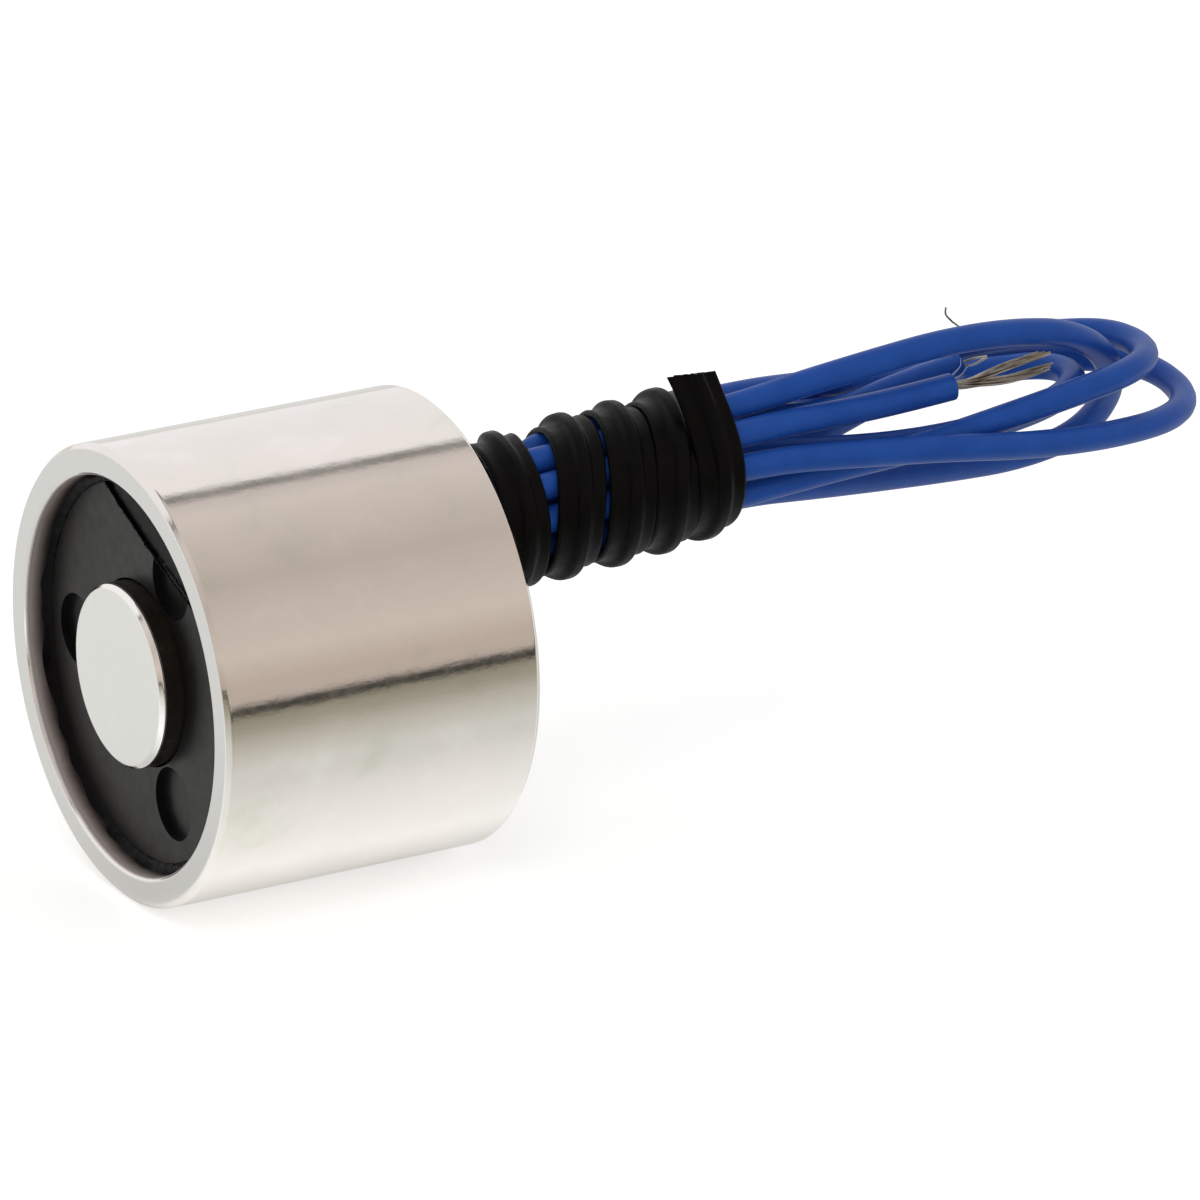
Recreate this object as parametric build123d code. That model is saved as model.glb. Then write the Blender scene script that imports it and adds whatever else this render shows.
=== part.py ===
from build123d import *

# Round holding magnet for a robot gripper: a nickel-plated steel cup, 20 mm across, holds a coil
# on a plastic bobbin round a steel core. The core has a threaded hole in the back. Two thin leads
# come out beside it, and are folded together into a hank that a ribbed black tie holds.
# The axis lies along X. The origin is the centre of the rear face, at the mouth of the threaded
# hole. The pole face looks along -X, and +Z is up.

import os
from math import atan2, cos, degrees, radians, sin, sqrt, tan

# Steel cup
cup_od = 20.0
cup_length = 15.0
cup_wall = 1.35
rear_wall = 3.0
rim_chamfer = 0.25
bore_chamfer = 0.15

# Steel core, with a spigot pressed into the rear wall
core_od = 8.0
core_chamfer = 0.2
spigot_od = 5.0
spigot_lead_in = 0.3
thread_bore = 2.5
thread_depth = 6.0
thread_mouth = 0.3
drill_point_angle = 118.0

# Bobbin
flange_recess = 1.1
flange_thickness = 0.9
flange_rim_gap = 0.45
barrel_wall = 0.6
joint_room = 2.0
rear_flange_thickness = 0.7
rear_flange_rim_gap = 0.35
pit_diameter = 3.2
pit_depth = 0.4
pit_circle = 5.75
pit_angles = (180, 60, -60)
flat_distance = 6.05
flat_angle = 110.5
flat_hollow = 0.25
wire_slot = 2.6

# Coil and what closes it
winding_rim_gap = 1.25
tape_thickness = 0.12
resin_drop = 0.15
resin_depth = 1.0
exit_hole = 3.1
exit_resin_sink = 0.15
lead_inset = 2.8
joint_diameter = 0.6
joint_length = 0.9
coil_wire = 0.2
coil_wire_bend = 0.35
coil_wire_seats = (0.25, 0.75)

# Clearances
press_clearance = 0.01
slip_clearance = 0.08
cast_clearance = 0.02

# Leads, and the bundle that they make inside the tie
lead_od = 1.2
bundle_y = -3.5
bundle_z = 5.53
bundle_radius = 2.2
bundle_slope = 0.055
bundle_steep_slope = 0.08
bundle_bend_x = 5.8
bundle_end_x = 12.9
near_fold_x = 1.0
high_fold_x = 2.6
strand_angles = {
    "exit_1": 339, "exit_2": 304, "low": 270, "low_near": 225, "near": 180, "high_near": 143,
    "top": 108, "high_far": 67, "far": 14, "middle": -31,
}
middle_radius = 0.87

# Tie: a flat ribbon with a round rib along its middle, and a steel wire in the rib
tie_clearance = 0.16
ribbon_width = 2.1
ribbon_thickness = 0.28
rib_diameter = 0.62
tie_wire_diameter = 0.3
tie_height = 0.65
tie_turns_x = (1.25, 3.5, 5.75, 7.95, 10.15)
tie_slant = 0.9
tie_start_angle = 25.0
tie_end_angle = 25.0
tie_end = 3.9
tie_axis_drop = 0.05
tie_axis_slope = 0.068

# Bare ends: the tinned strands lie in two bunches
bunch_diameter = 0.36
bunch_spacing = 0.44

# Share of the shorter run that an arc takes at a corner of a lead
arc_share = 0.45

cup_bore = cup_od - 2 * cup_wall
flange_od = cup_bore - 2 * flange_rim_gap
rear_flange_od = cup_bore - 2 * rear_flange_rim_gap
winding_od = cup_bore - 2 * winding_rim_gap
pole_x = -cup_length
wall_x = -rear_wall
flange_x = pole_x + flange_recess
flange_back_x = flange_x + flange_thickness
rear_flange_back_x = wall_x - joint_room
rear_flange_x = rear_flange_back_x - rear_flange_thickness
bobbin_bore = core_od + 2 * slip_clearance
barrel_od = bobbin_bore + 2 * barrel_wall


def turned(*outline):
    # A closed outline of (x, radius) points, turned round the X axis.
    section = make_face(Plane.XZ * Polyline(*outline, close=True))
    return revolve(section, Axis.X)


def rod(x_start, x_end, diameter, y=0.0, z=0.0):
    # A round bar or drill along X.
    bar = Cylinder(diameter / 2, x_end - x_start, align=(Align.CENTER, Align.CENTER, Align.MIN))
    return Pos(x_start, y, z) * Rot(0, 90, 0) * bar


def strand(name, x):
    # Where a strand of the bundle stands at a distance x behind the rear face.
    radius = middle_radius if name == "middle" else bundle_radius
    angle = radians(strand_angles[name])
    rise = bundle_slope * min(max(x, 0), bundle_bend_x)
    rise += bundle_steep_slope * max(x - bundle_bend_x, 0)
    return (x, bundle_y + radius * cos(angle), bundle_z + rise + radius * sin(angle))


def strand_out(name):
    return [strand(name, bundle_bend_x), strand(name, bundle_end_x)]


def fold(name_in, name_out, x):
    # A strand comes in, turns back at x, and goes out again as another strand.
    return [
        *reversed(strand_out(name_in)), strand(name_in, x),
        strand(name_out, x), *strand_out(name_out),
    ]


exits = {name: strand(name, 0) for name in ("exit_1", "exit_2")}
exit_y = sum(place[1] for place in exits.values()) / 2
exit_z = sum(place[2] for place in exits.values()) / 2
exit_angle = degrees(atan2(exit_z, exit_y))

# Routes of the leads outside the tie, as (x, y, z): far loops and bare ends
lead_1_first_loop = [
    (18.8, -0.1, 6.1), (23.3, 0.7, 6.8), (27.6, 1.1, 7.1), (31.5, 1.0, 6.9),
    (33.6, -1.2, 7.3), (33.5, -4.4, 7.4), (31.2, -6.7, 7.6), (27.3, -7.3, 7.3),
    (23.8, -6.9, 6.6), (20.5, -6.2, 5.8), (17.1, -5.6, 5.4),
]
lead_1_second_loop = [
    (18.0, -2.0, 7.9), (22.9, -0.8, 6.9), (27.8, 0.0, 6.1), (30.0, -1.5, 6.5),
    (30.1, -3.9, 6.7), (28.2, -5.6, 6.5), (25.1, -5.6, 5.9), (21.5, -4.9, 5.5),
    (17.6, -3.9, 5.5),
]
lead_1_end = [(16.9, -5.5, 7.8), (20.1, -5.6, 7.9), (22.6, -5.7, 8.1)]
lead_2_first_loop = [
    (18.6, -0.7, 4.9), (23.9, 1.3, 5.5), (29.0, 2.0, 5.7), (33.4, 1.6, 5.3),
    (35.8, -0.6, 5.2), (35.8, -3.9, 4.8), (33.5, -6.4, 4.9), (29.5, -7.6, 5.2),
    (25.1, -8.1, 5.7), (21.1, -8.0, 6.3), (17.7, -7.1, 6.4),
]
lead_2_second_loop = [
    (17.6, -2.7, 3.5), (21.6, -1.4, 2.7), (25.8, -0.3, 2.0), (29.7, 0.6, 1.5),
    (32.6, 0.3, 2.1), (33.3, -1.5, 4.4), (31.7, -3.9, 7.3), (29.0, -5.2, 9.3),
    (25.5, -5.7, 10.1), (22.0, -5.7, 10.2), (18.9, -5.4, 9.8), (15.8, -4.8, 9.2),
]
lead_2_end = [(18.3, -2.8, 6.6), (21.6, -3.0, 7.5), (24.6, -2.9, 7.8)]

lead_1_route = [
    strand("exit_1", -lead_inset), strand("exit_1", 0), *strand_out("exit_1"), *lead_1_first_loop,
    *fold("low_near", "high_far", high_fold_x), *lead_1_second_loop,
    *fold("middle", "high_near", near_fold_x), *lead_1_end,
]
lead_2_route = [
    strand("exit_2", -lead_inset), strand("exit_2", 0), *strand_out("exit_2"), *lead_2_first_loop,
    *fold("near", "low", near_fold_x), *lead_2_second_loop,
    *fold("top", "far", near_fold_x), *lead_2_end,
]

# Bare bunches beyond the ends of the leads: the middle point and the tip of each
lead_1_bunches = [[(24.9, -5.9, 8.6), (27.3, -6.1, 8.9)], [(24.9, -6.0, 7.95), (27.5, -6.2, 8.2)]]
lead_2_bunches = [[(25.6, -2.9, 8.1), (26.4, -2.9, 8.2)], [(25.6, -2.8, 7.6), (26.3, -2.8, 7.6)]]


def make_housing():
    # A turned cup: chamfered rims, a bore closed by the rear wall, and the hole for the leads.
    outer, bore, hole = cup_od / 2, cup_bore / 2, spigot_od / 2 + press_clearance
    cup = turned(
        (pole_x, bore + bore_chamfer), (pole_x, outer - rim_chamfer),
        (pole_x + rim_chamfer, outer), (-rim_chamfer, outer), (0, outer - rim_chamfer),
        (0, hole), (wall_x, hole), (wall_x, bore), (pole_x + bore_chamfer, bore),
    )
    return cup - rod(wall_x - 1, 1, exit_hole, exit_y, exit_z)


def make_core():
    # The pole in the middle: a shoulder seats on the rear wall, its spigot takes the thread, and
    # a scallop in its side clears the leads where they come in.
    pole, spigot, thread = core_od / 2, spigot_od / 2, thread_bore / 2
    drill_point = thread / tan(radians(drill_point_angle / 2))
    core = turned(
        (pole_x, 0), (pole_x, pole - core_chamfer), (pole_x + core_chamfer, pole),
        (wall_x, pole), (wall_x, spigot), (-spigot_lead_in, spigot),
        (0, spigot - spigot_lead_in), (0, thread + thread_mouth), (-thread_mouth, thread),
        (-thread_depth, thread), (-thread_depth - drill_point, 0),
    )
    return core - rod(rear_flange_back_x, wall_x, exit_hole, exit_y, exit_z)


def flange_blank(x_start, x_end, grow=0.0):
    # The front flange: a disc with one slightly hollow flat, which leaves room for the resin.
    disc = rod(x_start, x_end, flange_od + 2 * grow)
    half, reach = cup_od, flat_distance + grow
    beyond = turned_block(x_start - 1, x_end + 1, reach, half)
    hollow_radius = (flange_od**2 / 4 - flat_distance**2) / (2 * flat_hollow)
    centre = reach + hollow_radius - flat_hollow
    angle = radians(flat_angle)
    hollow = rod(x_start - 1, x_end + 1, 2 * hollow_radius, centre * cos(angle), centre * sin(angle))
    return disc - beyond - hollow


def turned_block(x_start, x_end, near, width):
    # Everything past a straight line at the flat's angle, as a block.
    block = Box(x_end - x_start, width, width, align=(Align.MIN, Align.MIN, Align.CENTER))
    return Rot(flat_angle, 0, 0) * Pos(x_start, near, 0) * block


def make_bobbin():
    # A moulded spool: three shallow pits in the front flange, a slot for wires in the rear one.
    barrel = rod(flange_x, rear_flange_back_x, barrel_od)
    spool = barrel + flange_blank(flange_x, flange_back_x)
    spool += rod(rear_flange_x, rear_flange_back_x, rear_flange_od)
    spool -= rod(flange_x - 1, rear_flange_back_x + 1, bobbin_bore)
    for angle in pit_angles:
        y, z = pit_circle * -cos(radians(angle)), pit_circle * sin(radians(angle))
        spool -= rod(flange_x - 1, flange_x + pit_depth, pit_diameter, y, z)
    slot = Box(
        rear_flange_thickness + 2, rear_flange_od, wire_slot,
        align=(Align.MIN, Align.MIN, Align.CENTER),
    )
    return spool - Rot(exit_angle, 0, 0) * Pos(rear_flange_x - 1, barrel_od / 2, 0) * slot


winding_front_x = flange_back_x + cast_clearance
winding_back_x = rear_flange_x - cast_clearance


def make_winding():
    inner, outer = barrel_od / 2 + cast_clearance, winding_od / 2
    return turned(
        (winding_front_x, inner), (winding_front_x, outer),
        (winding_back_x, outer), (winding_back_x, inner),
    )


def make_coil_tape():
    inner = winding_od / 2 + cast_clearance
    outer = inner + tape_thickness
    return turned(
        (winding_front_x, inner), (winding_front_x, outer),
        (winding_back_x, outer), (winding_back_x, inner),
    )


def make_potting():
    # Resin poured in from the front: it fills the flat's gap and the rim round the flange.
    bore = cup_bore - 2 * cast_clearance
    tape_od = winding_od + 2 * tape_thickness + 4 * cast_clearance
    front = rod(flange_x + resin_drop, flange_back_x, bore)
    front -= flange_blank(flange_x - 1, flange_back_x + 1, cast_clearance)
    behind = rod(flange_back_x, flange_back_x + resin_depth, bore)
    return front + (behind - rod(flange_back_x, flange_back_x + resin_depth, tape_od))


def make_exit_resin():
    # A plug of resin that closes the lead hole round both leads.
    plug = rod(-lead_inset, -exit_resin_sink, exit_hole - 2 * cast_clearance, exit_y, exit_z)
    for name in exits:
        _, y, z = strand(name, 0)
        drill = lead_od + 2 * cast_clearance
        plug -= rod(-lead_inset - 1, 1, drill, y, z)
    return plug


def make_solder_joint(name):
    # A short soldered length on the end of a lead, where its coil wire starts.
    _, y, z = strand(name, 0)
    return rod(-lead_inset - joint_length, -lead_inset, joint_diameter, y, z)


def make_coil_wire(name, seat_share):
    # Enamelled wire from a solder joint, through the slot, to its layer at the winding's end.
    inner, outer = barrel_od / 2, winding_od / 2
    seat_radius = inner + seat_share * (outer - inner)
    _, y, z = strand(name, 0)
    start_x = -lead_inset - joint_length
    angle = atan2(z, y)
    seat_y, seat_z = seat_radius * cos(angle), seat_radius * sin(angle)
    middle_x = (start_x + winding_back_x) / 2
    path = FilletPolyline(
        (start_x, y, z), (middle_x + coil_wire, y, z), (middle_x - coil_wire, seat_y, seat_z),
        (winding_back_x, seat_y, seat_z), radius=coil_wire_bend,
    )
    return sweep(Plane(path @ 0, z_dir=path % 0) * Circle(coil_wire / 2), path)


def make_lead(name, route):
    # A tube of straight runs joined by tangent arcs, as large as the runs allow.
    points = [Vector(*point) for point in route]
    radii, turns = [], []
    for before, corner, after in zip(points, points[1:], points[2:]):
        run_in, run_out = corner - before, after - corner
        turn = run_in.get_angle(run_out)
        shorter = min(run_in.length, run_out.length)
        radii.append(arc_share * shorter / tan(radians(turn / 2)))
        turns.append(turn)
    path = FilletPolyline(*points, radius=radii)
    section = Circle(lead_od / 2)
    tube = sweep(Plane(path @ 0, z_dir=path % 0) * section, path)
    print(name, "length", round(path.length, 2), "sharpest turn", round(max(turns)))
    print("  radii", [round(radius, 1) for radius in radii])
    print("  volume", round(tube.volume, 2), "section x length", round(section.area * path.length, 2))
    return tube


def make_bunches(route, bunches):
    # Two bunches of bare strands, side by side on the end face of a lead.
    end, before = Vector(*route[-1]), Vector(*route[-2])
    direction = (end - before).normalized()
    across = Vector(0, 0, 1) - direction * direction.Z
    solids = []
    for side, (middle, tip) in zip((0.5, -0.5), bunches):
        start = end + across.normalized() * (side * bunch_spacing)
        straight = start + direction * (2 * bunch_diameter)
        path = FilletPolyline(start, straight, middle, tip, radius=bunch_diameter)
        solids += sweep(Plane(start, z_dir=path % 0) * Circle(bunch_diameter / 2), path).solids()
    return Compound(children=solids)


tie_inner = bundle_radius + lead_od / 2 + tie_clearance
rib_centre = tie_inner + tie_height - rib_diameter / 2


def half_turn(start, end, side, first=0.0, last=180.0):
    # A half circle from start to end round one side of the bundle, or a stretch of it in degrees.
    centre = (start + end) / 2
    out = Vector(0, side * (start - centre).length, 0)
    angles = [radians(first + (last - first) * share) for share in (0, 0.5, 1)]
    return ThreePointArc(*[centre + (start - centre) * cos(a) + out * sin(a) for a in angles])


def tie_curve(radius):
    # From under the bundle up its near side, over it and on, in slanted half circles. The last
    # turn passes the near side, and its end stands up straight.
    rise = [bundle_z - tie_axis_drop + tie_axis_slope * x for x in tie_turns_x]
    centres = [Vector(x, bundle_y, z) for x, z in zip(tie_turns_x, rise)]
    up = Vector(0, 0, radius)
    feet = [centre - up for centre in centres]
    heads = [centre + up + Vector(tie_slant, 0, 0) for centre in centres]
    edges = [half_turn(feet[0] + 2 * up, feet[0], 1, 180 - tie_start_angle, 180)]
    for foot, head, next_foot in zip(feet, heads, feet[1:]):
        edges += [half_turn(foot, head, -1), half_turn(head, next_foot, 1)]
    last = half_turn(feet[-1], heads[-1], -1, 0, 90 + tie_end_angle)
    return Wire([*edges, last, Line(last @ 1, last @ 1 + (last % 1) * tie_end)])


def round_in_tie(diameter):
    # A round section carried along the middle of the rib.
    path = tie_curve(rib_centre)
    return sweep(Plane(path @ 0, z_dir=path % 0) * Circle(diameter / 2), path).solid()


def make_tie():
    # A flat ribbon with a round rib on its outer side, which leaves a channel for the wire. A
    # second curve, further out, keeps the ribbon's top outwards.
    path, guide = tie_curve(rib_centre), tie_curve(rib_centre + tie_inner)
    low, high, top = tie_inner, tie_inner + ribbon_thickness, tie_inner + tie_height
    rib_foot = sqrt((rib_diameter / 2) ** 2 - (rib_centre - high) ** 2)
    low, high, top = (rib_centre - level for level in (low, high, top))
    side = ribbon_width / 2
    outline = Curve() + [
        Polyline(
            (-rib_foot, high), (-side, high), (-side, low), (side, low), (side, high), (rib_foot, high),
        ),
        ThreePointArc((rib_foot, high), (0, top), (-rib_foot, high)),
    ]
    section = Plane(path @ 0, x_dir=(1, 0, 0), z_dir=path % 0) * make_face(outline)
    ribbon = sweep(section, path, binormal=guide, clean=False).solid()
    return ribbon.cut(round_in_tie(tie_wire_diameter + 2 * press_clearance))


def make_tie_wire():
    return round_in_tie(tie_wire_diameter)


parts = {
    "housing": make_housing(),
    "core": make_core(),
    "bobbin": make_bobbin(),
    "winding": make_winding(),
    "coil_tape": make_coil_tape(),
    "potting": make_potting(),
    "exit_resin": make_exit_resin(),
    "lead_1": make_lead("lead_1", lead_1_route),
    "lead_2": make_lead("lead_2", lead_2_route),
    "lead_1_strands": make_bunches(lead_1_route, lead_1_bunches),
    "lead_2_strands": make_bunches(lead_2_route, lead_2_bunches),
    "lead_tie": make_tie(),
    "tie_wire": make_tie_wire(),
}
for number, (name, seat_share) in enumerate(zip(exits, coil_wire_seats), 1):
    parts[f"solder_joint_{number}"] = make_solder_joint(name)
    parts[f"coil_wire_{number}"] = make_coil_wire(name, seat_share)

os.makedirs("parts", exist_ok=True)
for node, shape in parts.items():
    export_step(shape, f"parts/{node}.step")
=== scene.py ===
import bpy
import bmesh
import numpy as np
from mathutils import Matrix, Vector


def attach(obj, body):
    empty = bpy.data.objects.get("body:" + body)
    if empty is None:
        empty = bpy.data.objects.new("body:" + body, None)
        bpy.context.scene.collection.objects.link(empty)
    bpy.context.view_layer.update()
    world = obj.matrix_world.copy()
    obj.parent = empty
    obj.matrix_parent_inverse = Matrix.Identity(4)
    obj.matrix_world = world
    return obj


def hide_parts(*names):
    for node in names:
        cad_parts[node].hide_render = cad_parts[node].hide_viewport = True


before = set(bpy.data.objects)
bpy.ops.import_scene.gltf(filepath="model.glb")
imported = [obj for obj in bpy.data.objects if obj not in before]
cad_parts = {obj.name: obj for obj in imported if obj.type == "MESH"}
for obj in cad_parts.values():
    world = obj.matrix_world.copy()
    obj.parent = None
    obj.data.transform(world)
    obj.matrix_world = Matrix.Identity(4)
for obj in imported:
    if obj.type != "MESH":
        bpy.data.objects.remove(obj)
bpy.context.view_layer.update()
scene = bpy.context.scene
mm = 0.001
weld = 1e-8  # m, points closer than this become one


# Camera: the photo's long lens, looking down on the side of the cup from its pole end
camera = {
    "target": (6.480, -3.426, 0.558),  # mm, the middle of the picture
    "back": (-0.4602, -0.8118, 0.3595),  # from the target towards the camera
    "distance": 500,  # mm
    "pixelsPerMm": 23.376,
    "picture": 1200,  # px
    "sensor": 36,  # mm
    "clip": (0.01, 20),  # m
}


def addCamera(c):
    data = bpy.data.cameras.new("camera")
    data.sensor_width = c["sensor"]
    data.sensor_fit = "HORIZONTAL"
    data.lens = c["pixelsPerMm"] * c["distance"] * c["sensor"] / c["picture"]
    data.clip_start, data.clip_end = c["clip"]
    eye = bpy.data.objects.new("camera", data)
    scene.collection.objects.link(eye)
    back = Vector(c["back"]).normalized()
    eye.location = (Vector(c["target"]) + back * c["distance"]) * mm
    eye.rotation_euler = back.to_track_quat("Z", "Y").to_euler()
    scene.camera = eye


addCamera(camera)
scene.view_settings.view_transform = "Standard"
print("camera set")


# Nodes of a material are wired by socket name
class Maker:
    def __init__(self, name):
        self.material = bpy.data.materials.new(name)
        self.material.use_nodes = True
        self.tree = self.material.node_tree
        self.shader = self.tree.nodes["Principled BSDF"]
        self.place = self.add("ShaderNodeTexCoord").outputs["Object"]

    def add(self, kind, **values):
        node = self.tree.nodes.new(kind)
        for key, value in values.items():
            if key in node.inputs:
                node.inputs[key].default_value = value
            else:
                setattr(node, key, value)
        return node

    def wire(self, source, target):
        self.tree.links.new(source, target)

    def set(self, **values):
        for key, value in values.items():
            self.shader.inputs[key.replace("_", " ")].default_value = value

    def colour(self, source):
        self.wire(source, self.shader.inputs["Base Color"])

    def roughness(self, source):
        self.wire(source, self.shader.inputs["Roughness"])

    def metallic(self, source):
        self.wire(source, self.shader.inputs["Metallic"])

    def noise(self, scale, detail=3.0, rough=0.5, stretch=(1, 1, 1)):
        # The scale counts bumps a metre. A stretch counts them a metre along each axis.
        mapping = self.add("ShaderNodeMapping")
        mapping.inputs["Scale"].default_value = stretch
        self.wire(self.place, mapping.inputs["Vector"])
        texture = self.add("ShaderNodeTexNoise", Scale=scale, Detail=detail, Roughness=rough)
        self.wire(mapping.outputs["Vector"], texture.inputs["Vector"])
        return texture.outputs["Fac"]

    def ramp(self, source, stops):
        # Stops are (position, colour or grey).
        node = self.add("ShaderNodeValToRGB")
        elements = node.color_ramp.elements
        while len(elements) < len(stops):
            elements.new(0.5)
        for element, (position, colour) in zip(elements, stops):
            element.position = position
            element.color = (*colour, 1) if isinstance(colour, tuple) else (colour,) * 3 + (1,)
        self.wire(source, node.inputs["Fac"])
        return node.outputs["Color"]

    def spread(self, source, low, high):
        # Share of the way from one value to another, kept within 0 and 1.
        node = self.add("ShaderNodeMapRange")
        node.inputs["From Min"].default_value, node.inputs["From Max"].default_value = low, high
        self.wire(source, node.inputs["Value"])
        return node.outputs["Result"]

    def along(self, axis="X"):
        # The place along an axis, in metres.
        split = self.add("ShaderNodeSeparateXYZ")
        self.wire(self.place, split.inputs["Vector"])
        return split.outputs[axis]

    def radial(self):
        # The distance from the X axis, in metres.
        flat = self.add("ShaderNodeVectorMath", operation="MULTIPLY")
        flat.inputs[1].default_value = (0, 1, 1)
        self.wire(self.place, flat.inputs[0])
        size = self.add("ShaderNodeVectorMath", operation="LENGTH")
        self.wire(flat.outputs["Vector"], size.inputs[0])
        return size.outputs["Value"]

    def sums(self, operation, first, second):
        # Arithmetic on two values, each a number or a socket.
        node = self.add("ShaderNodeMath", operation=operation)
        for socket, value in zip(node.inputs, (first, second)):
            if isinstance(value, (int, float)):
                socket.default_value = value
            else:
                self.wire(value, socket)
        return node.outputs["Value"]

    def blend(self, factor, low, high):
        # The first colour where the factor is 0, and the second where it is 1.
        node = self.add("ShaderNodeMix", data_type="RGBA")
        self.wire(factor, node.inputs["Factor"])
        for socket, value in ((node.inputs[6], low), (node.inputs[7], high)):
            if isinstance(value, tuple):
                socket.default_value = (*value, 1)
            else:
                self.wire(value, socket)
        return node.outputs[2]

    def bump(self, height, distance):
        node = self.add("ShaderNodeBump", Strength=1.0, Distance=distance)
        self.wire(height, node.inputs["Height"])
        previous = self.shader.inputs["Normal"].links
        if previous:
            self.wire(previous[0].from_socket, node.inputs["Normal"])
        self.wire(node.outputs["Normal"], self.shader.inputs["Normal"])


# Plate: bright outside, ground on the pole face, and stained inside the bore down to the resin
plate = {
    "blotchSize": (260, 5, 0.6),  # of a noise: scale, detail and roughness
    "blotches": [
        (0.28, (0.775, 0.77, 0.705)), (0.42, (0.85, 0.825, 0.79)), (0.60, (0.87, 0.84, 0.81)),
        (0.78, (0.93, 0.91, 0.88)),
    ],
    "shineSize": (900, 6, 0.65), "shine": [(0.35, 0.045), (0.75, 0.13)],
    "dentSize": (1500, 6, 0.7), "dent": 0.005,  # mm, as the next two
    "ringSize": (1, 4, 0.7), "ringStretch": (9000, 260, 260), "rings": 0.0009,
    "streakSize": (1, 3, 0.6), "streakStretch": (500, 3400, 3400), "streaks": 0.0012,
    "groundFrom": -14.96, "groundEdge": 0.02, "ground": (0.83, 0.825, 0.81), "groundRough": 0.24,
    "boreRadius": 8.70, "boreEdge": 0.01, "boreEnd": -3.2, "boreEndEdge": 0.1,
    "boreRough": 0.5, "boreMetal": 0.2,
    "stainFrom": -15.0, "stainTo": -13.6, "stainSize": (420, 5, 0.65), "stainUneven": 0.22,
    "stain": [
        (0.05, (0.80, 0.77, 0.75)), (0.13, (0.50, 0.44, 0.42)), (0.22, (0.56, 0.49, 0.46)),
        (0.34, (0.36, 0.295, 0.275)), (0.46, (0.20, 0.16, 0.15)), (0.58, (0.06, 0.05, 0.047)),
        (0.70, (0.02, 0.017, 0.017)),
    ],
}


def nickelPlate(p):
    # The stain goes by depth in the bore plus an uneven share, and the bore is where both the radius
    # and the place along X are below their limits.
    m = Maker("nickel plate")
    ground = m.spread(m.along(), (p["groundFrom"] + p["groundEdge"]) * mm, p["groundFrom"] * mm)
    inside = m.sums(
        "MULTIPLY",
        m.spread(m.radial(), (p["boreRadius"] + p["boreEdge"]) * mm, p["boreRadius"] * mm),
        m.spread(m.along(), p["boreEnd"] * mm, (p["boreEnd"] - p["boreEndEdge"]) * mm),
    )
    depth = m.spread(m.along(), p["stainFrom"] * mm, p["stainTo"] * mm)
    uneven = m.sums("SUBTRACT", m.noise(*p["stainSize"]), 0.5)
    uneven = m.sums("MULTIPLY", uneven, p["stainUneven"])
    stain = m.ramp(m.sums("ADD", depth, uneven), p["stain"])
    outside = m.blend(ground, m.ramp(m.noise(*p["blotchSize"]), p["blotches"]), p["ground"])
    m.colour(m.blend(inside, outside, stain))
    rough = m.blend(ground, m.ramp(m.noise(*p["shineSize"]), p["shine"]), (p["groundRough"],) * 3)
    m.roughness(m.blend(inside, rough, (p["boreRough"],) * 3))
    m.metallic(m.blend(inside, (1.0,) * 3, (p["boreMetal"],) * 3))
    m.bump(m.noise(*p["dentSize"]), p["dent"] * mm)
    m.bump(m.noise(*p["ringSize"], stretch=p["ringStretch"]), p["rings"] * mm)
    m.bump(m.noise(*p["streakSize"], stretch=p["streakStretch"]), p["streaks"] * mm)
    return m.material


# Steel: a ground face with a bright edge, and a side browned by resin and dirt
steel = {
    "face": (0.93, 0.925, 0.905), "faceSize": (700, 5, 0.6), "faceRough": [(0.3, 0.26), (0.7, 0.34)],
    "edgeFrom": -14.97, "edgeWidth": 0.02, "edgeRough": 0.10,
    "sideFrom": -14.74, "sideFromEdge": 0.03, "sideTo": -3.1, "sideToEdge": 0.1,
    "sideRough": 0.38, "sideMetal": 0.0, "sideSize": (1500, 5, 0.7),
    "side": [
        (0.30, (0.008, 0.006, 0.004)), (0.62, (0.018, 0.013, 0.009)), (0.74, (0.10, 0.08, 0.055)),
    ],
    "streakSize": (1, 4, 0.6), "streakStretch": (600, 4000, 500), "streaks": 0.0003,
}


def groundSteel(s):
    # The side is where X lies past its first limit and before its second.
    m = Maker("ground steel")
    side = m.sums(
        "MULTIPLY",
        m.spread(m.along(), s["sideFrom"] * mm, (s["sideFrom"] + s["sideFromEdge"]) * mm),
        m.spread(m.along(), s["sideTo"] * mm, (s["sideTo"] - s["sideToEdge"]) * mm),
    )
    m.colour(m.blend(side, s["face"], m.ramp(m.noise(*s["sideSize"]), s["side"])))
    rough = m.ramp(m.noise(*s["faceSize"]), s["faceRough"])
    edge = m.spread(m.along(), s["edgeFrom"] * mm, (s["edgeFrom"] + s["edgeWidth"]) * mm)
    rough = m.blend(edge, rough, (s["edgeRough"],) * 3)
    m.roughness(m.blend(side, rough, (s["sideRough"],) * 3))
    m.metallic(m.blend(side, (1.0,) * 3, (s["sideMetal"],) * 3))
    m.bump(m.noise(*s["streakSize"], stretch=s["streakStretch"]), s["streaks"] * mm)
    return m.material


# Moulded black: a tone that drifts a little between two tints, shallow flow lines and a fine grain
moulded = {
    "tint": (0.85, 0.80, 0.82), "tintHigh": (1.25, 1.15, 1.18), "ior": 1.5,
    "toneSize": (420, 5, 0.6), "toneStops": (0.3, 0.75),
    "shineSize": (1500, 4, 0.6), "shineStops": (0.3, 0.7),
    "flowSize": (1, 4, 0.65), "flowStretch": (900, 900, 7000), "flow": 0.002, "grainSize": (3800, 3),
}


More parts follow.
